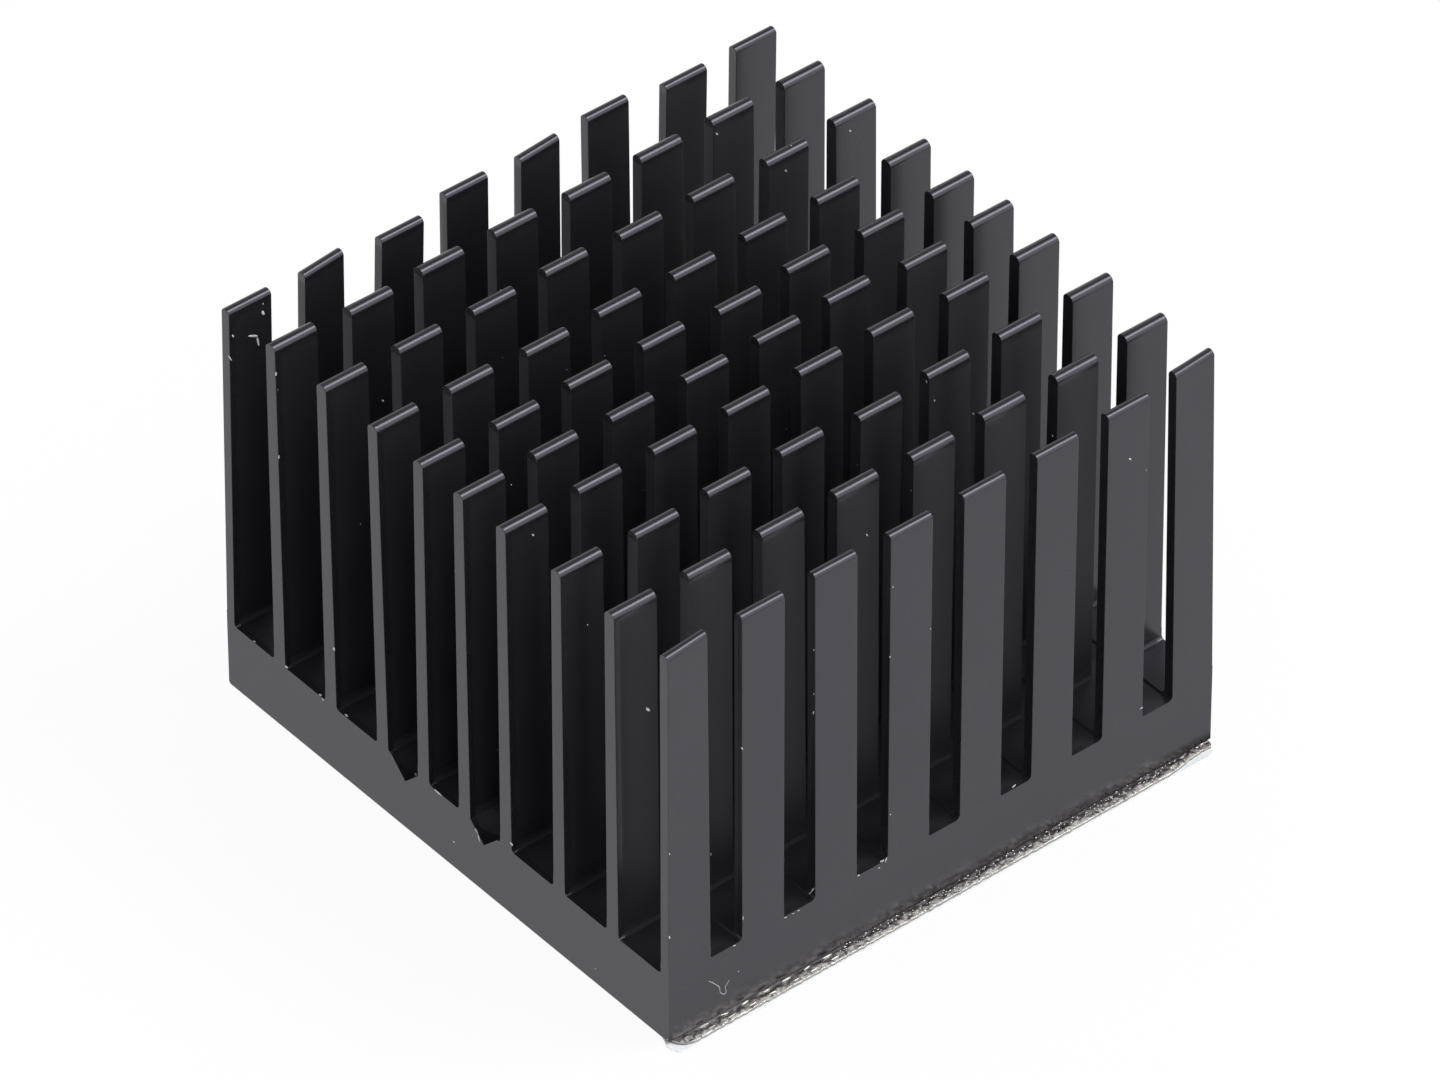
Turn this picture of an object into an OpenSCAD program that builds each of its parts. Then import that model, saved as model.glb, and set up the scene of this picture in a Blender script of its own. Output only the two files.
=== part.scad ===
// Cross-cut pin fin heat sink: a black anodised extrusion whose fins are sawn into pins,
// with a thermal adhesive tape under its base. X runs across the fins, Y along the extrusion
// and Z up, and the origin is on the tape's underside at the centre of the base.

/* [Fins] */
// Thickness of an inner fin where it leaves the base
fin_root_t = 1.1; // [0.9:0.05:1.5]
// Thickness of an inner fin under its round tip
fin_tip_t = 0.92; // [0.6:0.02:1.2]
// Thickness of the outermost fin on each side
outer_fin_t = 0.75; // [0.6:0.05:1.2]
// Height of the fins over the floor of the gaps
fin_h = 25.4; // [12:0.1:45]
// Number of wide air gaps on each side of the middle
side_gaps = 3; // [1:1:6]
// Width of a wide air gap at its floor
side_gap_w = 4; // [2.5:0.1:7]
// Number of narrow gaps in the middle
middle_gaps = 3; // [2:1:5]
// Width of a narrow gap at its floor
middle_gap_w = 2.9; // [2.4:0.1:5]
// Radius of the round in the floor corners of the gaps
root_r = 0.35; // [0.1:0.05:0.6]

/* [Pins] */
// Number of pins that each fin is sawn into
pins = 8; // [3:1:12]
// Length of a pin along its fin
pin_len = 3.28; // [2:0.02:6]
// Width of a saw slot between two pins
slot_w = 2.45; // [1.5:0.05:4]
// Depth of the saw slots below the floor of the gaps
slot_sink = 0.12; // [0.05:0.01:0.4]
// Radius of the round in a saw slot's bottom corner nearest the front end
slot_near_r = 0.15; // [0.1:0.05:0.6]
// Radius of the round in a saw slot's bottom corner nearest the back end
slot_far_r = 0.4; // [0.1:0.05:0.6]

/* [Base] */
// Thickness of the base under the gaps
base_t = 5.1; // [3.5:0.1:9]
// Radius along the two bottom edges of the extrusion
base_edge_r = 0.25; // [0.1:0.05:1]
// Depth of the two V grooves that take a spring clip
groove_depth = 1.32; // [0.5:0.02:1.8]
// Distance from a groove's bottom line to the fin on its outer side
groove_offset = 1.62; // [1.2:0.02:2]

/* [Tape] */
// Thickness of the adhesive tape
tape_t = 0.3; // [0.1:0.05:0.8]
// How far the tape stands out past the right side of the base
tape_overhang = 0.85; // [0:0.05:1.5]
// How far the tape stays inside the left side of the base
tape_inset = 0.4; // [0.1:0.1:2]
// How far the tape stays inside the two ends of the base
tape_end_inset = 0.2; // [0.1:0.05:2]
// Radius of the tape's corners
tape_corner_r = 1.3; // [0.5:0.1:6]

/* [Hidden] */
$fn = 64;

anodised_black = [0.09, 0.09, 0.1];
foil_silver = [0.62, 0.61, 0.6];
// A crown radius this much over half the fin meets the fin's sides at a slight angle
crown_ease = 1.02;
// A corner round's centre sits this share of its radius from both edges, so its arc crosses them
round_reach = 0.95;
// How far cutting shapes run past the faces that they cut
past = 1;

gap_count = 2 * side_gaps + middle_gaps;
last_fin = gap_count;
first_groove_gap = side_gaps;
last_groove_gap = side_gaps + middle_gaps - 1;
sink_w = 2 * outer_fin_t + (gap_count - 1) * fin_root_t + 2 * side_gaps * side_gap_w + middle_gaps * middle_gap_w;
sink_len = pins * pin_len + (pins - 1) * slot_w;
sink_h = base_t + fin_h;
// Fins reach down to the bottom of the grooves, so that a groove never undercuts one
fin_foot = groove_depth;

function is_middle(gap) = gap >= first_groove_gap && gap <= last_groove_gap;
function gap_w(gap) = is_middle(gap) ? middle_gap_w : side_gap_w;
function is_outer(fin) = fin == 0 || fin == last_fin;
function root_t(fin) = is_outer(fin) ? outer_fin_t : fin_root_t;
function tip_t(fin) = is_outer(fin) ? outer_fin_t : fin_tip_t;
// Left side of a fin at its root, and left and right sides of the floor of a gap
function fin_left(fin) = fin == 0 ? -sink_w / 2 : gap_right(fin - 1);
function gap_left(gap) = fin_left(gap) + root_t(gap);
function gap_right(gap) = gap_left(gap) + gap_w(gap);
// Near side of a saw slot
function slot_near(slot) = -sink_len / 2 + slot * (pin_len + slot_w) - slot_w;

// What a round of radius r leaves of a square corner that opens towards +X and +Y
module corner_round(r) {
    reach = r * round_reach;
    difference() {
        translate([-r, -r]) square(r + reach);
        translate([reach, reach]) circle(r = r);
    }
}

// Section of one fin, standing on the floor of the gaps
module fin_section(root, tip) {
    crown_r = crown_ease * tip / 2;
    crown_z = fin_h - crown_r;
    intersection() {
        union() {
            translate([-root / 2, -fin_foot]) square([root, fin_foot]);
            polygon([[-root / 2, 0], [root / 2, 0], [tip / 2, crown_z], [tip / 2, fin_h + past],
                     [-tip / 2, fin_h + past], [-tip / 2, crown_z]]);
        }
        union() {
            translate([-root, -fin_foot - past]) square([2 * root, crown_z + fin_foot + past]);
            translate([0, crown_z]) circle(r = crown_r);
        }
    }
}

// Section of a V groove, with its bottom line at its offset from a fin on its left
module groove_section() {
    half = groove_depth + past;
    translate([groove_offset, 0]) polygon([[0, -groove_depth], [half, past], [-half, past]]);
}

// Section of the base, with its bottom edges rounded and the two grooves cut in its top
module base_section() {
    difference() {
        translate([-sink_w / 2, 0]) square([sink_w, base_t]);
        for (side = [0, 1])
            mirror([side, 0]) {
                translate([-sink_w / 2, 0]) corner_round(base_edge_r);
                translate([gap_left(first_groove_gap), base_t]) groove_section();
            }
    }
}

// Section of the extrusion across its length
module extrusion_section() {
    base_section();
    translate([0, base_t]) {
        for (fin = [0 : last_fin])
            translate([fin_left(fin) + root_t(fin) / 2, 0]) fin_section(root_t(fin), tip_t(fin));
        for (gap = [0 : gap_count - 1]) {
            if (gap != last_groove_gap) translate([gap_left(gap), 0]) corner_round(root_r);
            if (gap != first_groove_gap) translate([gap_right(gap), 0]) mirror([1, 0]) corner_round(root_r);
        }
    }
}

// Section of a saw slot from its bottom to over the tips
module slot_section() {
    difference() {
        square([slot_w, fin_h + slot_sink + past]);
        corner_round(slot_near_r);
        translate([slot_w, 0]) mirror([1, 0]) corner_round(slot_far_r);
    }
}

// One saw slot across all the fins
module saw_slot(slot) {
    translate([-sink_w / 2 - past, slot_near(slot), base_t - slot_sink])
        rotate([90, 0, 90]) linear_extrude(sink_w + 2 * past) slot_section();
}

module heat_sink() {
    color(anodised_black)
        translate([0, 0, tape_t])
            difference() {
                translate([0, sink_len / 2, 0]) rotate([90, 0, 0]) linear_extrude(sink_len) extrusion_section();
                for (slot = [1 : pins - 1]) saw_slot(slot);
            }
}

module thermal_tape() {
    tape_w = sink_w - tape_inset + tape_overhang;
    tape_len = sink_len - 2 * tape_end_inset;
    color(foil_silver)
        translate([-sink_w / 2 + tape_inset, -tape_len / 2, 0])
            linear_extrude(tape_t)
                difference() {
                    square([tape_w, tape_len]);
                    for (right = [0, 1])
                        for (far = [0, 1])
                            translate([right * tape_w, far * tape_len])
                                mirror([right, 0]) mirror([0, far]) corner_round(tape_corner_r);
                }
}

heat_sink();
thermal_tape();
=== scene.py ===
"""Dresses the pin fin heat sink: satin black anodise on slightly bent pins, crinkled foil tape under its
base, and the chips, dust and lint that lie on it."""

import math
import random
from collections import namedtuple

import bmesh
import bpy
from mathutils import Matrix, Vector, noise
from mathutils.bvhtree import BVHTree


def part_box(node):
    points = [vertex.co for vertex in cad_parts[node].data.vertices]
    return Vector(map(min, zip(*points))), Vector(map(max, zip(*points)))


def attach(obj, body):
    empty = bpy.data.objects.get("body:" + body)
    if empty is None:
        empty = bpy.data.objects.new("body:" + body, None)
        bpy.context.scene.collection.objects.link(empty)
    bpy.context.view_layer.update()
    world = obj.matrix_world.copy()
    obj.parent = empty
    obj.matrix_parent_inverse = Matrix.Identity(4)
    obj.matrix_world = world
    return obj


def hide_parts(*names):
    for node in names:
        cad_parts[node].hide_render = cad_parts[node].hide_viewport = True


MM = 0.001
BODY = "root"

# The photo's frame in pixels, and where its camera stood
PHOTO_W = 1440
PHOTO_H = 1080
SENSOR_MM = 36
VIEW_AZIMUTH = math.radians(50.39)
VIEW_ELEVATION = math.radians(40.22)
VIEW_ROLL = math.radians(-0.10)
VIEW_DISTANCE = 746.0 * MM
NEAREST_SEEN = 0.05
FURTHEST_SEEN = 20.0
# A point inside the sink, the pixel where the photo shows it, and the photo's scale there
SIGHT_POINT = Vector((0, 0, 16.3 * MM))
SIGHT_PIXEL = (718.1, 513.2)
PIXELS_PER_METRE = 16.35 / MM

# Levels of the room's light, where 1 shows as white
ROOM_LIGHT = 0.7
WALL_SEEN = 0.95
CEILING_SEEN = 0.34
# Heights on a unit sphere between which the white walls give way to the dimmer ceiling
WALL_TOP = math.sin(math.radians(30))
CEILING_EDGE = math.sin(math.radians(44))
# A soft lamp: its direction from the sink, the angles where its edge starts and ends, and its level
Lamp = namedtuple("Lamp", "direction core edge level")
SIDE_PANEL = Lamp(Vector((0.78, 0.49, 0.38)), math.radians(8), math.radians(29), 2.1)
KEY_LAMP = Lamp(Vector((0.352, 0.489, 0.799)), math.radians(4), math.radians(17.5), 10.4)
FLOOR_SIZE = 6.0
FLOOR_DROP = 0.02 * MM
FLOOR_COLOUR = (0.9, 0.9, 0.9, 1)
FLOOR_GLOW = 0.94
WHITE = (1, 1, 1, 1)

# How far each tip of the outer fins is bent towards +X, near pin first, in mm
LEFT_FIN_LEAN = (0.57, 0.57, 1.06, 0.18, 0.22, -0.19, 0.50, 0.35)
RIGHT_FIN_LEAN = (-0.08, 0.0, -0.15, 0.0, 0.0, 0.0, -0.10, -0.62)
# How much further the far edge of a tip is bent than its near edge, in mm
LEFT_FIN_TWIST = (0.0, -0.33, 0.0, 0.0, -0.28, 0.0, 0.0, 0.0)
RIGHT_FIN_TWIST = (-0.30, 0.0, 0.0, 0.0, 0.0, 0.0, 0.0, -0.25)
# Pins of the other fins that are bent further than most, in mm towards +X, by fin and pin from 0 on
BENT_PINS = {
    (1, 1): 0.30, (1, 4): 0.13, (2, 3): -0.17, (2, 6): 0.21, (2, 7): -0.16, (3, 0): -0.25, (3, 1): -0.23,
    (3, 3): -0.14, (3, 5): -0.11, (4, 0): 0.13, (4, 1): 0.20, (4, 4): 0.35, (4, 6): 0.22, (5, 1): -0.15,
    (5, 3): 0.11, (5, 5): -0.20, (5, 6): 0.27, (5, 7): -0.22, (6, 5): -0.12, (6, 6): 0.18, (7, 1): 0.23,
    (7, 4): 0.40, (8, 2): -0.19, (8, 4): 0.16, (8, 7): -0.16,
}
# How widely the lean of the rest spreads, in mm
INNER_LEAN = 0.05
LEAN_SEED = 7

# Sizes of the extrusion that its box doesn't give
BASE_THICKNESS = 5.1 * MM
# How far down a tip reaches, and how far apart points of two fins or two pin ends are at least
TIP_BAND = 0.1 * MM
TIP_GAP = 1.0 * MM
# The pins' edges are broken from this far over the floor of the gaps
EDGE_FOOT = 0.9 * MM
EDGE_BREAK = 0.045 * MM
EDGE_SEGMENTS = 2
EDGE_PROFILE = 0.5
SHARP_ANGLE = math.radians(35)
# The right bottom edge is nearly sharp: what share is left of its round, and how far the round reaches
RIGHT_EDGE_SHARE = 0.25
RIGHT_EDGE_REACH = 0.3 * MM
# Vertices closer than this are merged, and faces that are this flat to each other are joined
MERGE_DISTANCE = 0.001 * MM
FLAT_ANGLE = math.radians(0.6)

# The tape's corners, anticlockwise from the back right one: crinkled foil over a clear film
FOIL_CORNERS = (0.3 * MM, 1.3 * MM, 1.3 * MM, 1.3 * MM)
FILM_CORNERS = (0.8 * MM, 0.8 * MM, 0.8 * MM, 0.8 * MM)
FILM_OUT = Vector((0.15 * MM, 0, 0))
FILM_STEP = 0.16 * MM
FILM_THICKNESS = 0.08 * MM
FILM_ROUND = 0.03 * MM
# The film's front corner lies this much further out, from this far before the base's right side on
FILM_CURL = 0.35 * MM
FILM_CURL_FROM = 0.9 * MM
FOIL_BACK = 0.01 * MM
FOIL_STEP = 0.08 * MM
FOIL_FRINGE = 1.36 * MM
FOIL_ROWS = 17
FOIL_ROUND = 0.02 * MM
# How far the middle of a round edge lies from both its faces, as a share of its radius
ROUND_MIDDLE = 0.3
# Where the crinkles start and where they are full, counted out from the base's right side
CRINKLE_FROM = -0.05 * MM
CRINKLE_FULL = 0.40 * MM
CRINKLE = 0.04 * MM
CRINKLE_GRAIN = 2.6 / MM
FINE_CRINKLE = 0.02 * MM
FINE_GRAIN = 5.5 / MM
RAGGED_EDGE = 0.07 * MM
# The foil narrows towards the back end: from where to where along the sink, and by how much
NARROW_FROM = 17.6 * MM
NARROW_TO = 20.4 * MM
NARROW_BY = 0.36 * MM
# How far from the base the foil starts to droop, and how fast its slope grows from there
DROOP_START = 0.45 * MM
DROOP = 0.25 / MM

# Crimps in the foil beside the base, whose pale colour is a painted highlight: two regular rows at the
# front, then uneven glints
CRIMP_LINE = 0.20 * MM
CRIMP_START = 2.55 * MM
CRIMP_PITCH = 1.62 * MM
CRIMP_COUNT = 7
CRIMP_SHIFT = (0.0, 0.0, 0.035 * MM)
CRIMP_SIZE = (0.09 * MM, 0.80 * MM, 0.09 * MM)
CRIMP_SEED = 3
OUTER_CRIMP_SHIFT = (0.36 * MM, 0.30 * MM, -0.01 * MM)
OUTER_CRIMP_SIZE = (0.11 * MM, 0.85 * MM, 0.08 * MM)
OUTER_CRIMP_SEED = 8
GLINT_COUNT = 170
GLINT_SHIFT = (0.06 * MM, 10.5 * MM, 0.0)
GLINT_SPREAD = (0.24 * MM, 0.30 * MM, 0.01 * MM)
GLINT_SIZE = (0.10 * MM, 0.14 * MM, 0.06 * MM)
GLINT_SEED = 11
NO_SPREAD = (0.0, 0.0, 0.0)
# How far a crimp is turned at most, its smallest and largest scale, and how uneven its surface is
CRIMP_TURN = (0.1, 0.1, 0.12)
CRIMP_SCALES = (0.7, 1.1)
CRIMP_JITTER = 0.02 * MM
CRIMP_GRAIN = 4.0 / MM

# Chips in the finish, each from one pixel of the photo to another, with its width in mm
Chip = namedtuple("Chip", "from_x from_y to_x to_y width")
CHIPS = (
    Chip(262, 311, 264, 315, 0.20), Chip(263, 303, 263, 305, 0.08), Chip(248, 336, 258, 336, 0.16),
    Chip(257, 337, 259, 346, 0.14), Chip(232, 335, 234, 337, 0.12), Chip(228, 355, 232, 361, 0.09),
    Chip(276, 372, 276, 376, 0.11), Chip(279, 455, 279, 459, 0.11), Chip(334, 647, 334, 651, 0.14),
    Chip(253, 641, 256, 642, 0.09), Chip(285, 666, 288, 668, 0.15), Chip(319, 694, 322, 696, 0.15),
    Chip(322, 698, 324, 701, 0.13), Chip(345, 714, 348, 717, 0.13), Chip(382, 400, 384, 402, 0.09),
    Chip(532, 534, 534, 536, 0.09), Chip(595, 968, 596, 969, 0.06), Chip(669, 936, 670, 939, 0.09),
    Chip(669, 853, 670, 855, 0.07), Chip(716, 133, 718, 135, 0.09), Chip(741, 747, 743, 750, 0.13),
    Chip(785, 170, 787, 172, 0.09), Chip(849, 130, 851, 132, 0.09), Chip(934, 400, 935, 401, 0.07),
    Chip(972, 413, 974, 415, 0.11), Chip(866, 534, 868, 536, 0.09), Chip(1129, 458, 1131, 460, 0.09),
    Chip(926, 380, 927, 383, 0.08), Chip(1052, 435, 1053, 437, 0.08), Chip(415, 773, 417, 777, 0.11),
    Chip(434, 789, 442, 796, 0.13), Chip(475, 828, 478, 834, 0.10), Chip(478, 834, 480, 842, 0.11),
    Chip(510, 842, 513, 846, 0.17), Chip(453, 841, 455, 843, 0.10), Chip(646, 708, 650, 711, 0.18),
    Chip(814, 693, 814, 695, 0.07), Chip(814, 711, 813, 714, 0.08), Chip(814, 649, 814, 651, 0.07),
    Chip(890, 656, 890, 658, 0.07), Chip(893, 586, 893, 588, 0.06), Chip(743, 916, 743, 920, 0.05),
    Chip(711, 853, 711, 856, 0.08), Chip(738, 971, 739, 972, 0.04), Chip(667, 1039, 668, 1040, 0.08),
)
# Ragged burrs that the saw left along the bottoms of its slots
BURRS = (
    Chip(733, 946, 736, 945, 0.06), Chip(784, 918, 787, 917, 0.06), Chip(792, 914, 794, 913, 0.05),
    Chip(797, 911, 800, 910, 0.05), Chip(809, 894, 812, 891, 0.11), Chip(811, 892, 814, 888, 0.09),
    Chip(857, 876, 860, 875, 0.08), Chip(878, 869, 880, 867, 0.06), Chip(880, 862, 884, 860, 0.13),
    Chip(883, 860, 888, 857, 0.11), Chip(885, 862, 887, 857, 0.08), Chip(1012, 788, 1016, 784, 0.10),
    Chip(1140, 709, 1143, 707, 0.07),
)
SPECK_DETAIL = 2
CHIP_THICKNESS = 0.05 * MM
CHIP_JITTER = 0.04 * MM
CHIP_GRAIN = 9.0 / MM
DUST_PER_AREA = 4200.0
DUST_SIZE = (0.035 * MM, 0.09 * MM)
DUST_SEED = 5

# A fibre of lint on the right side of the base, by the photo's pixels
LINT_PATH = (
    (709, 981), (713, 983), (719, 987), (720, 992), (724, 994), (726, 991), (725, 987), (729, 980),
)
LINT_RADIUS = 0.017 * MM
LINT_POINTS = 60
LINT_SIDES = 8

# The finishes are in mm and in grains per mm, and a pair is where a look starts and where it is full

# Satin black anodise, which is cloudy and finely pored
ANODISE_DARK = (0.0120, 0.0115, 0.0135, 1)
ANODISE_PALE = (0.0170, 0.0165, 0.0190, 1)
ANODISE_TINT = (0.88, 0.865, 0.99, 1)
ANODISE_IOR = 1.53
ANODISE_ROUGHNESS = 0.23
CLOUD_ROUGHNESS = 0.07
CLOUD_GRAIN = (0.22, 0.22, 0.22)
PORE_GRAIN = (24.0, 24.0, 24.0)
PORE_STRENGTH = 0.12
PORE_DEPTH = 0.004
# How much rougher it is between the fins, how far in from the outside, and how far under the tips
INNER_ROUGHNESS = 0.20
INNER_INSET = 0.6
INNER_DROP = 0.9
# The back row of pins is as smooth as the outside: how far before the back end that starts, and its fade
SMOOTH_ROW = 4.0
SMOOTH_FADE = 1.2
# How much rougher it is again in the root rounds, and where they start and end over the floor
ROOT_ROUGHNESS = 0.35
ROOT_START = (0.005, 0.020)
ROOT_END = (0.35, 0.70)
# Painted shade on the base's right side just over the tape, a dull brown darkening: how far it rises and
# reaches in, and its streaks
PAINTED_SHADE_BROWN = (0.0115, 0.0100, 0.0086, 1)
SHADE_RISE = 1.0
SHADE_REACH = 0.25
SHADE_STREAKS = (2.0, 1.1, 2.0)
SHADE_DETAIL = 3.0
SHADE_WAVER = 0.5
# Along the sink it grows from a place before the front end to the middle
SHADE_GROWTH = (-28.0, 2.0)

# Foil: pressed beside the base, grey where it comes loose, and clean further out and at the front end
FOIL_PRESSED = (0.52, 0.499, 0.467, 1)
FOIL_GREYED = (0.35, 0.335, 0.314, 1)
FOIL_CLEAN = (0.43, 0.418, 0.398, 1)
LOOSE_FROM_BASE = (0.1, 0.4)
CLEAN_FROM_BASE = (0.35, 0.6)
CLEAN_TO_FRONT = (19.8, 20.6)
FOIL_WAVER = 0.25
FOIL_ROUGHNESS = 0.2
SMEARED_ROUGHNESS = 0.12
FOIL_SMEARS = (1.3, 1.3, 1.3)
FOIL_SMEAR_DETAIL = 4.0
FOIL_FACETS = (7.0, 6.0, 7.0)
FOIL_FACET_DETAIL = 1.0
FACET_STRENGTH = 0.6
FACET_DEPTH = 0.025

# Finishes that wander between two colours, and get rougher as they do
Mottle = namedtuple("Mottle", "first second grain detail roughness rougher")
# The crimps' pale colour is a painted highlight on real lumps of foil
CRIMP_HIGHLIGHT = Mottle((0.9, 0.89, 0.87, 1), (0.62, 0.60, 0.57, 1), (7.0, 7.0, 7.0), 2.0, 0.32, 0.2)
MILKY = Mottle((0.95, 0.97, 0.985, 1), (0.88, 0.905, 0.92, 1), (0.5, 0.5, 0.5), 3.0, 0.22, 0.25)
FLUFFY = Mottle((0.48, 0.48, 0.49, 1), (0.85, 0.84, 0.83, 1), (6.0, 6.0, 6.0), 2.0, 0.7, 0.2)
FILM_IOR = 1.5

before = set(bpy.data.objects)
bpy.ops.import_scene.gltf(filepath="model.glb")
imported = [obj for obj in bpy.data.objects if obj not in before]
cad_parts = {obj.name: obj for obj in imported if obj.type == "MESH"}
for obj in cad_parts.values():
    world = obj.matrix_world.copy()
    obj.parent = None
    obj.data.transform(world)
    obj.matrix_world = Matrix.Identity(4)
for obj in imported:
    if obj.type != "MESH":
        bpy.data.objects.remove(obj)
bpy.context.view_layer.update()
sink_low, sink_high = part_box("heat_sink")
tape_low, tape_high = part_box("thermal_tape")
floor_height = sink_low.z + BASE_THICKNESS
fin_height = sink_high.z - floor_height
scene = bpy.context.scene


class Wire:
    """A node's socket that takes part in Python sums."""

    def __init__(self, socket):
        self.socket = socket

    def maths(self, operation, *values):
        graph = Graph(self.socket.id_data)
        return graph.node("ShaderNodeMath", {"operation": operation}, dict(enumerate(values)))

    def __add__(self, other):
        return self.maths("ADD", self, other)

    def __radd__(self, other):
        return self.maths("ADD", other, self)

    def __sub__(self, other):
        return self.maths("SUBTRACT", self, other)

    def __rsub__(self, other):
        return self.maths("SUBTRACT", other, self)

    def __mul__(self, other):
        return self.maths("MULTIPLY", self, other)

    def __rmul__(self, other):
        return self.maths("MULTIPLY", other, self)

    def __or__(self, other):
        return self.maths("MAXIMUM", self, other)


class Graph:
    """Adds nodes to one node tree."""

    def __init__(self, tree):
        self.tree = tree

    def node(self, kind, settings=None, sockets=None, out=0):
        """Adds a node, sets it up, fills or links its sockets, and gives one of its outputs."""
        made = self.tree.nodes.new(kind)
        for name, value in (settings or {}).items():
            setattr(made, name, value)
        for key, value in (sockets or {}).items():
            if isinstance(value, Wire):
                self.tree.links.new(value.socket, made.inputs[key])
            else:
                made.inputs[key].default_value = value
        return Wire(made.outputs[out]) if len(made.outputs) else None

    def mixed_colour(self, share, first, second):
        sockets = {0: share, 6: first, 7: second}
        return self.node("ShaderNodeMix", {"data_type": "RGBA"}, sockets, out=2)

    def scaled(self, vector, factors):
        return self.node("ShaderNodeVectorMath", {"operation": "MULTIPLY"}, {0: vector, 1: factors})

    def grain(self, vector, factors, detail=2.0):
        """Noise from 0 to 1, with a number of grains per unit along each axis."""
        sockets = {"Vector": self.scaled(vector, factors), "Scale": 1.0, "Detail": detail}
        return self.node("ShaderNodeTexNoise", None, sockets, out="Fac")

    def ramp(self, value, low, high):
        """0 below low, 1 above high, and a smooth rise between them."""
        settings = {"interpolation_type": "SMOOTHSTEP"}
        sockets = {"Value": value, "From Min": low, "From Max": high}
        return self.node("ShaderNodeMapRange", settings, sockets)

    def axis(self, vector, name):
        return self.node("ShaderNodeSeparateXYZ", None, {0: vector}, out=name)

    def bump(self, height, strength, depth):
        """A relief of a depth in mm."""
        sockets = {"Height": height, "Strength": strength, "Distance": depth * MM}
        return self.node("ShaderNodeBump", None, sockets)

    def surface(self, shader):
        """Ends a material in a shader."""
        self.node("ShaderNodeOutputMaterial", None, {"Surface": shader})

    def principled(self, sockets):
        """Ends a material in the shader that plastic, metal and paint share."""
        self.surface(self.node("ShaderNodeBsdfPrincipled", None, sockets))


class PieceTree(Graph):
    """A Geometry Nodes tree with named inputs that turns a mesh into a piece."""

    def __init__(self, name):
        super().__init__(bpy.data.node_groups.new(name, "GeometryNodeTree"))
        self.name = name
        self.values = {}
        for side in ("INPUT", "OUTPUT"):
            self.tree.interface.new_socket("Geometry", in_out=side, socket_type="NodeSocketGeometry")
        self.entry = self.tree.nodes.new("NodeGroupInput")
        self.mesh = Wire(self.entry.outputs["Geometry"])

    def size(self, name, value):
        """A named input of the tree, and the value that this piece gives it."""
        kinds = {int: "NodeSocketInt", float: "NodeSocketFloat", tuple: "NodeSocketVector"}
        socket = self.tree.interface.new_socket(name, in_out="INPUT", socket_type=kinds[type(value)])
        self.values[socket.identifier] = value
        return Wire(self.entry.outputs[name])

    def attribute(self, name):
        settings = {"data_type": "FLOAT_VECTOR"}
        return self.node("GeometryNodeInputNamedAttribute", settings, {"Name": name})

    def random_vector(self, low, high, seed):
        settings = {"data_type": "FLOAT_VECTOR"}
        return self.node("FunctionNodeRandomValue", settings, {0: low, 1: high, "Seed": seed})

    def specks(self, points, rotation, scale):
        """A small ball at each point, turned and scaled."""
        ball = self.node("GeometryNodeMeshIcoSphere", None, {"Radius": 0.5, "Subdivisions": SPECK_DETAIL})
        sockets = {"Points": points, "Instance": ball, "Rotation": rotation, "Scale": scale}
        placed = self.node("GeometryNodeInstanceOnPoints", None, sockets)
        return self.node("GeometryNodeRealizeInstances", None, {0: placed})

    def roughened(self, geometry, grain, reach):
        """Moves every point a little, by a noise of a number of grains per metre."""
        place = self.node("GeometryNodeInputPosition")
        jitter = self.node("ShaderNodeTexNoise", None, {"Vector": place, "Scale": grain}, out="Color")
        settings = {"operation": "SUBTRACT"}
        offset = self.node("ShaderNodeVectorMath", settings, {0: jitter, 1: even(0.5)})
        settings = {"operation": "SCALE"}
        moved = self.node("ShaderNodeVectorMath", settings, {0: offset, "Scale": reach})
        return self.node("GeometryNodeSetPosition", None, {"Geometry": geometry, "Offset": moved})

    def piece(self, base, geometry, material):
        """Ends the tree, runs it on a base mesh, and gives the piece as a plain mesh."""
        smooth = self.node("GeometryNodeSetShadeSmooth", None, {0: geometry})
        realised = self.node("GeometryNodeRealizeInstances", None, {0: smooth})
        sockets = {"Geometry": realised, "Material": material}
        dressed = self.node("GeometryNodeSetMaterial", None, sockets)
        self.node("NodeGroupOutput", None, {0: dressed})
        made = in_scene(self.name, base)
        modifier = made.modifiers.new(self.name, "NODES")
        modifier.node_group = self.tree
        for identifier, value in self.values.items():
            modifier[identifier] = value
        make_plain(made)
        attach(made, BODY)
        return made


def even(value):
    return (value, value, value)


def share_between(value, low, high):
    """0 up to low, 1 from high on, and an even rise between them."""
    return min(max((value - low) / (high - low), 0.0), 1.0)


def in_scene(name, data):
    made = bpy.data.objects.new(name, data)
    scene.collection.objects.link(made)
    return made


def from_shape(name, shape, material):
    """A new object from a bmesh, all of one material."""
    mesh = bpy.data.meshes.new(name)
    shape.to_mesh(mesh)
    shape.free()
    mesh.materials.append(material)
    return in_scene(name, mesh)


def make_plain(piece):
    """Puts what a piece's modifiers make in the place of its mesh, and removes them."""
    evaluated = piece.evaluated_get(bpy.context.evaluated_depsgraph_get())
    made = bpy.data.meshes.new_from_object(evaluated)
    piece.modifiers.clear()
    piece.data = made
    made.name = piece.name


def new_material(name):
    """A material with its shader still to come: its graph, and object coordinates in mm."""
    material = bpy.data.materials.new(name)
    material.use_nodes = True
    material.node_tree.nodes.clear()
    graph = Graph(material.node_tree)
    place = graph.node("ShaderNodeTexCoord", out="Object")
    return material, graph, graph.scaled(place, even(1 / MM))


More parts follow.
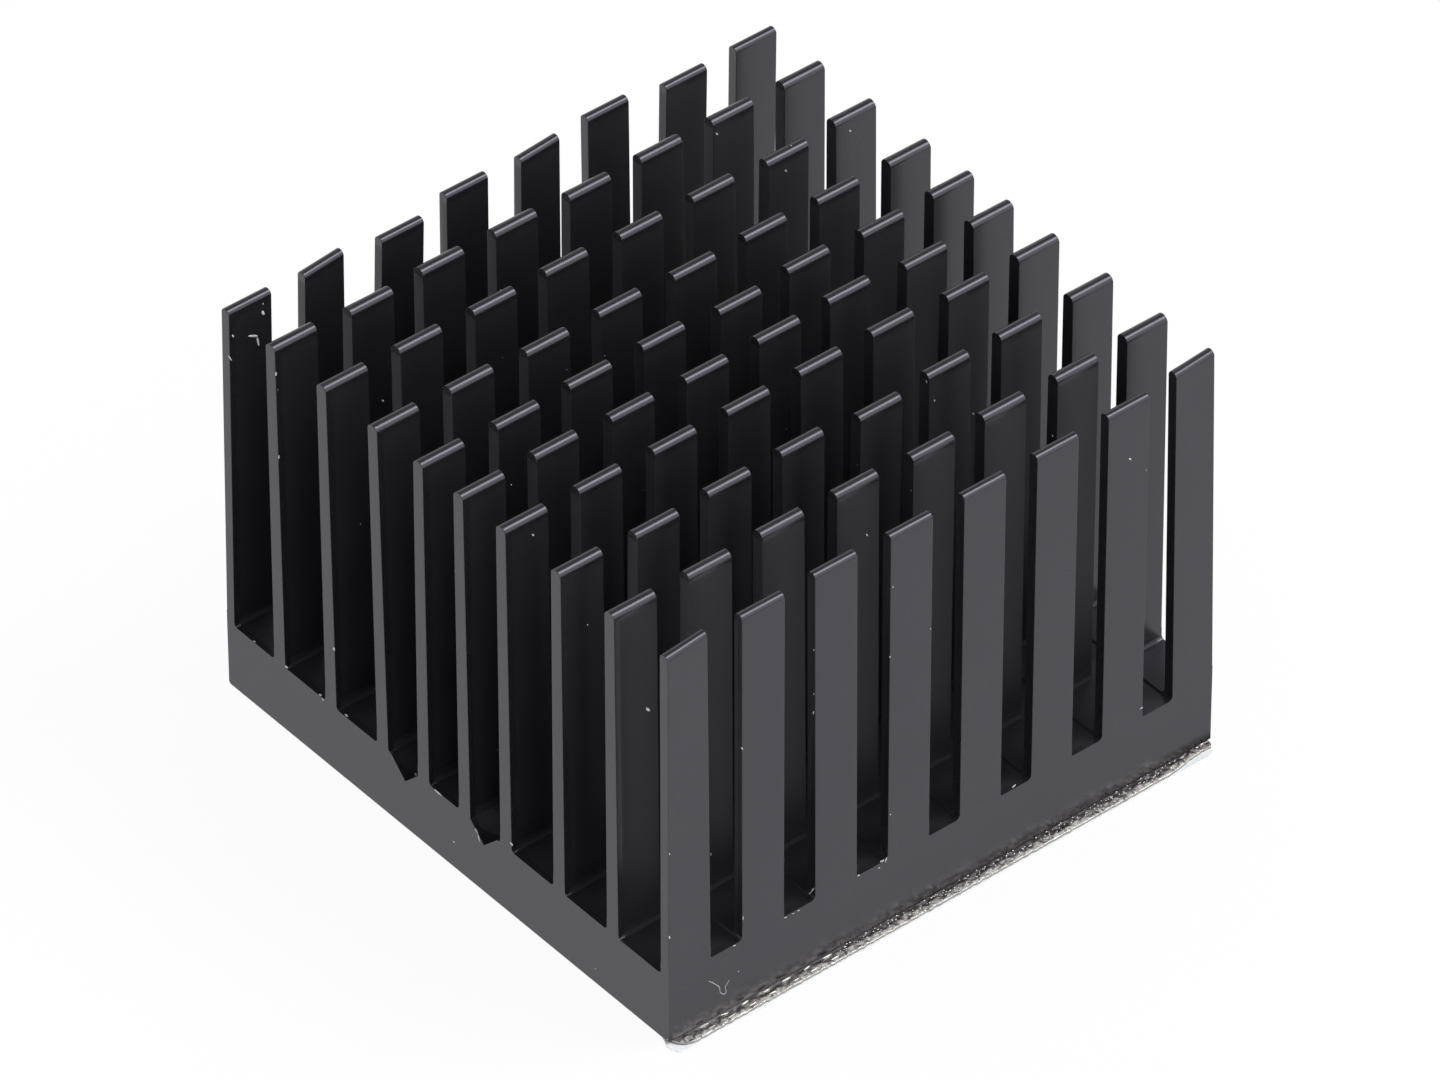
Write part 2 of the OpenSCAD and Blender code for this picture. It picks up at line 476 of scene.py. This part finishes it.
def within_sink(graph, place):
    """1 on the faces that look into the gaps and slots, and 0 on the outer faces."""
    x, y = graph.axis(place, "X"), graph.axis(place, "Y")
    half_w, half_len = sink_high.x / MM - INNER_INSET, sink_high.y / MM - INNER_INSET
    fade = INNER_INSET / 2
    sides = graph.ramp(x * x, half_w ** 2, (half_w + fade) ** 2)
    ends = graph.ramp(y * y, half_len ** 2, (half_len + fade) ** 2)
    return 1 - (sides | ends)


def between_fins(graph, place):
    """1 below the tips and before the back row of pins, and 0 beyond."""
    y, z = graph.axis(place, "Y"), graph.axis(place, "Z")
    top, back = sink_high.z / MM, sink_high.y / MM - SMOOTH_ROW
    tips = graph.ramp(z, top - INNER_DROP, top - INNER_DROP / 2)
    back_row = graph.ramp(y, back, back + SMOOTH_FADE)
    return 1 - (tips | back_row)


def in_roots(graph, place):
    """1 on the rounds at the roots of the fins, and 0 elsewhere."""
    over_floor = graph.axis(place, "Z") - floor_height / MM
    return graph.ramp(over_floor, *ROOT_START) * (1 - graph.ramp(over_floor, *ROOT_END))


def shade_over_tape(graph, place):
    """1 where shade is painted on the base's right side just over the tape, fading out upwards and
    towards the front.
    """
    x, y, z = (graph.axis(place, name) for name in "XYZ")
    low, side = tape_high.z / MM, sink_high.x / MM
    streaks = graph.grain(place, SHADE_STREAKS, SHADE_DETAIL)
    faded = 1 - graph.ramp(z + SHADE_WAVER * (streaks - 0.5), low, low + SHADE_RISE)
    grown = graph.ramp(y, *SHADE_GROWTH)
    return faded * grown * graph.ramp(x, side - SHADE_REACH, side)


def black_anodise():
    """Satin black anodise, cloudy and finely pored, with painted shade over the tape: darker, dull and
    brown there.
    """
    material, graph, place = new_material("black_anodise")
    clouds = graph.grain(place, CLOUD_GRAIN)
    pores = graph.grain(place, PORE_GRAIN)
    # painted shade: the base's right side is darker, dull brown and metallic just over the tape
    painted_shade = shade_over_tape(graph, place)
    clean = graph.mixed_colour(clouds, ANODISE_DARK, ANODISE_PALE)
    rougher = INNER_ROUGHNESS * between_fins(graph, place) + ROOT_ROUGHNESS * in_roots(graph, place)
    outside = ANODISE_ROUGHNESS + CLOUD_ROUGHNESS * clouds
    graph.principled({
        "Base Color": graph.mixed_colour(painted_shade, clean, PAINTED_SHADE_BROWN),
        "Metallic": painted_shade,
        "Roughness": outside + rougher * within_sink(graph, place),
        "IOR": ANODISE_IOR,
        "Specular Tint": ANODISE_TINT,
        "Normal": graph.bump(pores, PORE_STRENGTH, PORE_DEPTH),
    })
    return material


def crinkled_foil():
    """Bright foil, smooth beside the base and finely crinkled further out."""
    material, graph, place = new_material("crinkled_foil")
    smears = graph.grain(place, FOIL_SMEARS, FOIL_SMEAR_DETAIL)
    facets = graph.grain(place, FOIL_FACETS, FOIL_FACET_DETAIL)
    from_base = graph.axis(place, "X") - sink_high.x / MM + FOIL_WAVER * (smears - 0.5)
    to_front = 0 - graph.axis(place, "Y")
    loose = graph.ramp(from_base, *LOOSE_FROM_BASE)
    clean = graph.ramp(from_base, *CLEAN_FROM_BASE) | graph.ramp(to_front, *CLEAN_TO_FRONT)
    greyed = graph.mixed_colour(loose, FOIL_PRESSED, FOIL_GREYED)
    graph.principled({
        "Base Color": graph.mixed_colour(clean, greyed, FOIL_CLEAN),
        "Metallic": 1.0,
        "Roughness": FOIL_ROUGHNESS + SMEARED_ROUGHNESS * smears,
        "Normal": graph.bump(facets * loose, FACET_STRENGTH, FACET_DEPTH),
    })
    return material


def mottled(name, mottle, other_sockets):
    """A finish that wanders between two colours."""
    material, graph, place = new_material(name)
    share = graph.grain(place, mottle.grain, mottle.detail)
    graph.principled({
        "Base Color": graph.mixed_colour(share, mottle.first, mottle.second),
        "Roughness": mottle.roughness + mottle.rougher * share,
        **other_sockets,
    })
    return material


def crimp_highlight_foil():
    """Foil on the crimps and glints, its pale colour a painted highlight."""
    return mottled("crimp_highlight_foil", CRIMP_HIGHLIGHT, {"Metallic": 1.0})


def clear_film():
    """Milky clear film, a little cloudier in patches."""
    return mottled("clear_film", MILKY, {"IOR": FILM_IOR})


def pale_fluff():
    """Pale grey chips, dust and lint."""
    return mottled("pale_fluff", FLUFFY, {})


def floor_white():
    """White to the camera and in reflections, with a share of true shading that keeps the shadow."""
    material, graph, _ = new_material("floor_white")
    matt = graph.node("ShaderNodeBsdfDiffuse", None, {"Color": FLOOR_COLOUR})
    glow = graph.node("ShaderNodeEmission", None, {"Color": WHITE, "Strength": 1.0})
    sockets = {0: FLOOR_GLOW * seen_share(graph), 1: matt, 2: glow}
    graph.surface(graph.node("ShaderNodeMixShader", None, sockets))
    return material


def seen_share(graph):
    """1 for what the camera sees, straight or by gloss or glass, and 0 for the light on surfaces."""
    rays = (f"Is {kind} Ray" for kind in ("Camera", "Glossy", "Transmission"))
    straight, glossy, through = (graph.node("ShaderNodeLightPath", out=ray) for ray in rays)
    return straight | glossy | through


def light_room():
    """A room with white walls, a dimmer ceiling, and a lamp and a paler panel to the photo's right."""
    world = bpy.data.worlds.new("white_room")
    scene.world = world
    world.use_nodes = True
    world.node_tree.nodes.clear()
    graph = Graph(world.node_tree)
    direction = graph.node("ShaderNodeTexCoord", out="Generated")
    ceiling = graph.ramp(graph.axis(direction, "Z"), WALL_TOP, CEILING_EDGE)
    shown = WALL_SEEN - (WALL_SEEN - CEILING_SEEN) * ceiling
    level = ROOM_LIGHT + (shown - ROOM_LIGHT) * seen_share(graph)
    for lamp in (SIDE_PANEL, KEY_LAMP):
        settings = {"operation": "DOT_PRODUCT"}
        sockets = {0: direction, 1: lamp.direction.normalized()}
        nearness = graph.node("ShaderNodeVectorMath", settings, sockets, out="Value")
        lit = graph.ramp(nearness, math.cos(lamp.edge), math.cos(lamp.core))
        level = level + (lamp.level - level) * lit
    background = graph.node("ShaderNodeBackground", None, {"Color": WHITE, "Strength": level})
    graph.node("ShaderNodeOutputWorld", None, {"Surface": background})


def lay_floor():
    half = FLOOR_SIZE / 2
    corners = ((-half, -half), (half, -half), (half, half), (-half, half))
    mesh = bpy.data.meshes.new("floor")
    mesh.from_pydata([(x, y, -FLOOR_DROP) for x, y in corners], [], [(0, 1, 2, 3)])
    mesh.materials.append(floor_white())
    floor = in_scene("floor", mesh)


class PhotoView:
    """The photo's camera: its axes and place, and the line of sight through a pixel."""

    def __init__(self):
        sin_a, cos_a = math.sin(VIEW_AZIMUTH), math.cos(VIEW_AZIMUTH)
        sin_e, cos_e = math.sin(VIEW_ELEVATION), math.cos(VIEW_ELEVATION)
        self.back = Vector((sin_a * cos_e, -cos_a * cos_e, sin_e))
        level = Vector((cos_a, sin_a, 0))
        upright = self.back.cross(level)
        self.right = level * math.cos(VIEW_ROLL) + upright * math.sin(VIEW_ROLL)
        self.up = upright * math.cos(VIEW_ROLL) - level * math.sin(VIEW_ROLL)
        aside = (PHOTO_W / 2 - SIGHT_PIXEL[0]) / PIXELS_PER_METRE
        below = (PHOTO_H / 2 - SIGHT_PIXEL[1]) / PIXELS_PER_METRE
        self.place = SIGHT_POINT + self.right * aside - self.up * below + self.back * VIEW_DISTANCE
        self.focal_pixels = PIXELS_PER_METRE * VIEW_DISTANCE

    def sight(self, x, y):
        across = (x - PHOTO_W / 2) / self.focal_pixels
        down = (y - PHOTO_H / 2) / self.focal_pixels
        return (self.right * across - self.up * down - self.back).normalized()

    def spot(self, surface, x, y):
        """Where the line of sight through a pixel meets a surface, and the surface's direction there."""
        place, outward, _, _ = surface.ray_cast(self.place, self.sight(x, y))
        return place, outward

    def on_plane(self, x, y, point, outward):
        """Where the line of sight through a pixel meets a plane."""
        ray = self.sight(x, y)
        return self.place + ray * ((point - self.place).dot(outward) / ray.dot(outward))

    def add_camera(self):
        lens = bpy.data.cameras.new("photo_camera")
        lens.sensor_width = SENSOR_MM
        lens.lens = self.focal_pixels / PHOTO_W * SENSOR_MM
        lens.clip_start = NEAREST_SEEN
        lens.clip_end = FURTHEST_SEEN
        camera = in_scene("photo_camera", lens)
        axes = Matrix((self.right, self.up, self.back)).transposed()
        camera.matrix_world = Matrix.Translation(self.place) @ axes.to_4x4()
        scene.camera = camera


def grouped(values, gap):
    """Middles of the runs of values that lie closer together than a gap."""
    runs = []
    for value in sorted(values):
        if runs and value - runs[-1][-1] < gap:
            runs[-1].append(value)
        else:
            runs.append([value])
    return [(run[0] + run[-1]) / 2 for run in runs]


def nearest(values, target):
    return min(range(len(values)), key=lambda index: abs(values[index] - target))


def pin_leans(fins, pins):
    """Lean of each pin's tip and its twist, in metres, by fin and pin."""
    draw = random.Random(LEAN_SEED)
    leans = {}
    for fin in range(fins):
        for pin in range(pins):
            lean, twist = BENT_PINS.get((fin, pin), draw.gauss(0, INNER_LEAN)), 0.0
            if fin == 0:
                lean, twist = LEFT_FIN_LEAN[pin], LEFT_FIN_TWIST[pin]
            if fin == fins - 1:
                lean, twist = RIGHT_FIN_LEAN[pin], RIGHT_FIN_TWIST[pin]
            leans[fin, pin] = (lean * MM, twist * MM)
    return leans


def bend_pins(shape):
    """Leans every pin a little from its root, as handling has left them."""
    tips = [vert.co for vert in shape.verts if vert.co.z > sink_high.z - TIP_BAND]
    fin_middles = grouped((tip.x for tip in tips), TIP_GAP)
    pin_ends = grouped((tip.y for tip in tips), TIP_GAP)
    pin_middles = [(near + far) / 2 for near, far in zip(pin_ends[::2], pin_ends[1::2])]
    pin_length = pin_ends[1] - pin_ends[0]
    leans = pin_leans(len(fin_middles), len(pin_middles))
    for vert in shape.verts:
        rise = (vert.co.z - floor_height) / fin_height
        if rise <= 0:
            continue
        pin = nearest(pin_middles, vert.co.y)
        lean, twist = leans[nearest(fin_middles, vert.co.x), pin]
        vert.co.x += rise * (lean + twist * (vert.co.y - pin_middles[pin]) / pin_length)


def sharpen_right_edge(shape):
    """Shrinks the round along the base's right bottom edge."""
    for vert in shape.verts:
        out, rise = vert.co.x - sink_high.x, vert.co.z - sink_low.z
        if out > -RIGHT_EDGE_REACH and rise < RIGHT_EDGE_REACH:
            vert.co.x = sink_high.x + RIGHT_EDGE_SHARE * out
            vert.co.z = sink_low.z + RIGHT_EDGE_SHARE * rise


def is_pin_edge(edge):
    """True for the outward corners of the pins, over their feet."""
    lowest = min(vert.co.z for vert in edge.verts)
    over_foot = lowest > floor_height + EDGE_FOOT - MERGE_DISTANCE
    return over_foot and edge.calc_face_angle_signed() > SHARP_ANGLE


def break_pin_edges(shape):
    """Cuts the pins across at their feet and bevels their corners from there up."""
    everything = shape.verts[:] + shape.edges[:] + shape.faces[:]
    foot = Vector((0, 0, floor_height + EDGE_FOOT))
    bmesh.ops.bisect_plane(
        shape, geom=everything, dist=MERGE_DISTANCE, plane_co=foot, plane_no=(0, 0, 1))
    corners = [edge for edge in shape.edges if is_pin_edge(edge)]
    bmesh.ops.bevel(
        shape, geom=corners, offset=EDGE_BREAK, offset_type="OFFSET", affect="EDGES",
        segments=EDGE_SEGMENTS, profile=EDGE_PROFILE, clamp_overlap=True)


def shade_evenly(piece):
    """Weighs the shading by face area, in mm because the weights of metres are too small to count."""
    piece.data.transform(Matrix.Scale(1 / MM, 4))
    weighted = piece.modifiers.new("even_shading", "WEIGHTED_NORMAL")
    weighted.keep_sharp = True
    make_plain(piece)
    piece.data.transform(Matrix.Scale(MM, 4))


def finned_extrusion():
    """The heat sink's own solid with broken pin edges, bent pins and a sharper right bottom edge."""
    shape = bmesh.new()
    shape.from_mesh(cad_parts["heat_sink"].data)
    bmesh.ops.remove_doubles(shape, verts=shape.verts, dist=MERGE_DISTANCE)
    bmesh.ops.dissolve_limit(shape, angle_limit=FLAT_ANGLE, verts=shape.verts, edges=shape.edges)
    break_pin_edges(shape)
    bend_pins(shape)
    sharpen_right_edge(shape)
    for face in shape.faces:
        face.smooth = True
    for edge in shape.edges:
        edge.smooth = edge.calc_face_angle(0) < SHARP_ANGLE
    piece = from_shape("finned_extrusion", shape, black_anodise())
    shade_evenly(piece)
    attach(piece, BODY)
    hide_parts("heat_sink")
    return piece


def rounded_outline(low, high, radii, step):
    """Places and outward directions about a step apart, anticlockwise round a box with round corners."""
    ends = (
        (high.x, high.y, -1, -1), (low.x, high.y, 1, -1), (low.x, low.y, 1, 1), (high.x, low.y, -1, 1),
    )
    middles = [Vector((x + side * r, y + end * r)) for (x, y, side, end), r in zip(ends, radii)]
    outline = []
    for quarter, (middle, radius) in enumerate(zip(middles, radii)):
        arc_steps = math.ceil(radius * math.pi / 2 / step)
        for count in range(arc_steps + 1):
            angle = (quarter + count / arc_steps) * math.pi / 2
            outward = Vector((math.cos(angle), math.sin(angle)))
            outline.append((middle + radius * outward, outward))
        start = outline[-1][0]
        following = (quarter + 1) % len(middles)
        end = middles[following] + radii[following] * outward
        side_steps = math.ceil((end - start).length / step)
        outline += [(start.lerp(end, count / side_steps), outward) for count in range(1, side_steps)]
    return outline


def sheet_piece(name, outline, rows, shift, material):
    """A closed sheet from rows of points inside an outline, each row at its inset and height."""
    shape = bmesh.new()
    loops = []
    for inset, height in rows:
        places = [Vector((*(place - inset * outward), height)) for place, outward in outline]
        loops.append([shape.verts.new(place + shift(place)) for place in places])
    for inner, outer in zip(loops, loops[1:]):
        for index, corner in enumerate(inner):
            following = (index + 1) % len(inner)
            face = shape.faces.new((corner, outer[index], outer[following], inner[following]))
            face.smooth = True
    shape.faces.new(loops[0])
    shape.faces.new(reversed(loops[-1]))
    piece = from_shape(name, shape, material)
    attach(piece, BODY)
    return piece


def crinkle(place):
    """How far the foil is crinkled out of place, nothing where the base presses on it."""
    out = place.x - sink_high.x
    share = share_between(out, CRINKLE_FROM, CRINKLE_FULL)
    droop = DROOP * max(out - DROOP_START, 0.0) ** 2
    rise = CRINKLE * noise.noise(place * CRINKLE_GRAIN) + FINE_CRINKLE * noise.noise(place * FINE_GRAIN)
    ragged = RAGGED_EDGE * noise.noise(Vector((0, place.y * CRINKLE_GRAIN, 0)))
    narrow = share_between(place.y, NARROW_FROM, NARROW_TO)
    ragged -= NARROW_BY * narrow * narrow * (3 - 2 * narrow)
    above_film = (place.z - FILM_THICKNESS) / (tape_high.z - FILM_THICKNESS)
    return Vector((ragged * share, 0, (rise * share - droop) * above_film))


def film_curl(place):
    """How far the film's front right corner is pulled out from under the base."""
    share = share_between(place.x - sink_high.x, -FILM_CURL_FROM, 0.0)
    return Vector((0, -FILM_CURL * share if place.y < 0 else 0.0, 0))


def lay_foil():
    """The crinkled foil that stands for the tape."""
    top = tape_high.z
    back = Vector((FOIL_BACK, FOIL_BACK, 0))
    outline = rounded_outline(tape_low + back, tape_high - back, FOIL_CORNERS, FOIL_STEP)
    rows = [(FOIL_ROUND + FOIL_FRINGE * row / FOIL_ROWS, top) for row in range(FOIL_ROWS, -1, -1)]
    middle = FOIL_ROUND * ROUND_MIDDLE
    rows += [(middle, top - middle), (0, top - FOIL_ROUND), (0, FILM_THICKNESS)]
    foil = sheet_piece("crinkled_foil", outline, rows, crinkle, crinkled_foil())
    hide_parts("thermal_tape")


def lay_film():
    """The clear film under the foil."""
    outline = rounded_outline(tape_low - FILM_OUT, tape_high + FILM_OUT, FILM_CORNERS, FILM_STEP)
    rows = [(FILM_ROUND, FILM_THICKNESS), (0, FILM_THICKNESS - FILM_ROUND), (0, 0)]
    sheet_piece("clear_film", outline, rows, film_curl, clear_film())


def crimp_row(name, shift, count, pitch, spread, size, seed, material):
    """A row of crimps along the foil's right edge, from the front corner on, in foil whose pale colour is
    a painted highlight.
    """
    tree = PieceTree(name)
    seed = tree.size("Seed", seed)
    corner = Vector((sink_high.x + CRIMP_LINE, sink_low.y + CRIMP_START, tape_high.z))
    sockets = {
        "Count": tree.size("Count", count),
        "Start Location": tree.size("Start", tuple(corner + Vector(shift))),
        "Offset": tree.size("Pitch", (0.0, pitch, 0.0)),
    }
    line = tree.node("GeometryNodeMeshLine", {"mode": "OFFSET"}, sockets)
    offset = tree.scaled(tree.random_vector(even(-1), even(1), seed), tree.size("Spread", spread))
    points = tree.node("GeometryNodeSetPosition", None, {"Geometry": line, "Offset": offset})
    turned_back = tuple(-turn for turn in CRIMP_TURN)
    turn = tree.random_vector(turned_back, CRIMP_TURN, seed + 1)
    smallest, largest = CRIMP_SCALES
    share = tree.random_vector(even(smallest), even(largest), seed + 2)
    lumps = tree.specks(points, turn, tree.scaled(share, tree.size("Size", size)))
    lumps = tree.roughened(lumps, tree.size("Grain", CRIMP_GRAIN), tree.size("Jitter", CRIMP_JITTER))
    piece = tree.piece(bpy.data.meshes.new(name), lumps, material)


def crimp_foil():
    """The two rows of crimps at the front and the glints behind them, in foil whose pale colour is a
    painted highlight.
    """
    bright = crimp_highlight_foil()
    crimp_row("foil_crimps", CRIMP_SHIFT, CRIMP_COUNT, CRIMP_PITCH, NO_SPREAD, CRIMP_SIZE,
              CRIMP_SEED, bright)
    crimp_row("outer_crimps", OUTER_CRIMP_SHIFT, CRIMP_COUNT, CRIMP_PITCH, NO_SPREAD, OUTER_CRIMP_SIZE,
              OUTER_CRIMP_SEED, bright)
    length = tape_high.y - tape_low.y - 2 * CRIMP_START - GLINT_SHIFT[1]
    crimp_row("foil_glints", GLINT_SHIFT, GLINT_COUNT, length / GLINT_COUNT, GLINT_SPREAD, GLINT_SIZE,
              GLINT_SEED, bright)


def chip_points(name, chips, view, surface):
    """Points with each chip's direction, facing and size, where the lines of sight meet the sink."""
    spots, facing, along, sizes = [], [], [], []
    for chip in chips:
        first, outward = view.spot(surface, chip.from_x, chip.from_y)
        last = view.on_plane(chip.to_x, chip.to_y, first, outward)
        spots.append((first + last) / 2)
        facing.append(outward)
        along.append((last - first).normalized())
        sizes.append(((last - first).length, chip.width * MM, CHIP_THICKNESS))
    mesh = bpy.data.meshes.new(name)
    mesh.from_pydata(spots, [], [])
    for key, vectors in (("facing", facing), ("along", along), ("extent", sizes)):
        layer = mesh.attributes.new(key, "FLOAT_VECTOR", "POINT")
        for item, vector in zip(layer.data, vectors):
            item.vector = vector
    return mesh


def lay_chips(name, chips, view, surface, material):
    """Small flat flecks where the finish is chipped."""
    tree = PieceTree(name)
    sockets = {"Vector": tree.attribute("facing")}
    upright = tree.node("FunctionNodeAlignRotationToVector", {"axis": "Z"}, sockets)
    settings = {"axis": "X", "pivot_axis": "Z"}
    sockets = {"Rotation": upright, "Vector": tree.attribute("along")}
    turned = tree.node("FunctionNodeAlignRotationToVector", settings, sockets)
    flecks = tree.specks(tree.mesh, turned, tree.attribute("extent"))
    flecks = tree.roughened(flecks, tree.size("Grain", CHIP_GRAIN), tree.size("Jitter", CHIP_JITTER))
    tree.piece(chip_points(name, chips, view, surface), flecks, material)


def lay_dust(sink_mesh, material):
    """Sparse specks of dust all over the sink."""
    tree = PieceTree("dust")
    seed = tree.size("Seed", DUST_SEED)
    density = tree.size("Specks per square metre", DUST_PER_AREA)
    sockets = {"Mesh": tree.mesh, "Density": density, "Seed": seed}
    points = tree.node("GeometryNodeDistributePointsOnFaces", None, sockets)
    smallest, largest = DUST_SIZE
    scale = tree.random_vector(even(smallest), even(largest), seed + 1)
    specks = tree.specks(points, even(0.0), scale)
    tree.piece(sink_mesh.copy(), specks, material)


def lay_lint(view, surface, material):
    """One fibre of lint that lies on the base."""
    places = [view.spot(surface, x, y) for x, y in LINT_PATH]
    points = [place + outward * LINT_RADIUS for place, outward in places]
    mesh = bpy.data.meshes.new("lint_fibre")
    mesh.from_pydata(points, [(index, index + 1) for index in range(len(points) - 1)], [])
    tree = PieceTree("lint_fibre")
    path = tree.node("GeometryNodeMeshToCurve", None, {"Mesh": tree.mesh})
    path = tree.node("GeometryNodeCurveSplineType", {"spline_type": "CATMULL_ROM"}, {"Curve": path})
    sockets = {"Curve": path, "Count": tree.size("Points", LINT_POINTS)}
    path = tree.node("GeometryNodeResampleCurve", None, sockets)
    sockets = {"Resolution": LINT_SIDES, "Radius": tree.size("Radius", LINT_RADIUS)}
    ring = tree.node("GeometryNodeCurvePrimitiveCircle", None, sockets)
    sockets = {"Curve": path, "Profile Curve": ring, "Fill Caps": True}
    fibre = tree.node("GeometryNodeCurveToMesh", None, sockets)
    tree.piece(mesh, fibre, material)


view = PhotoView()
view.add_camera()
light_room()
lay_floor()
sink = finned_extrusion()
corners = [vert.co for vert in sink.data.vertices]
surface = BVHTree.FromPolygons(corners, [face.vertices for face in sink.data.polygons])
lay_foil()
lay_film()
crimp_foil()
fluff = pale_fluff()
lay_chips("finish_chips", CHIPS, view, surface, fluff)
lay_chips("slot_burrs", BURRS, view, surface, fluff)
lay_dust(sink.data, fluff)
lay_lint(view, surface, fluff)

scene.view_settings.view_transform = "Standard"
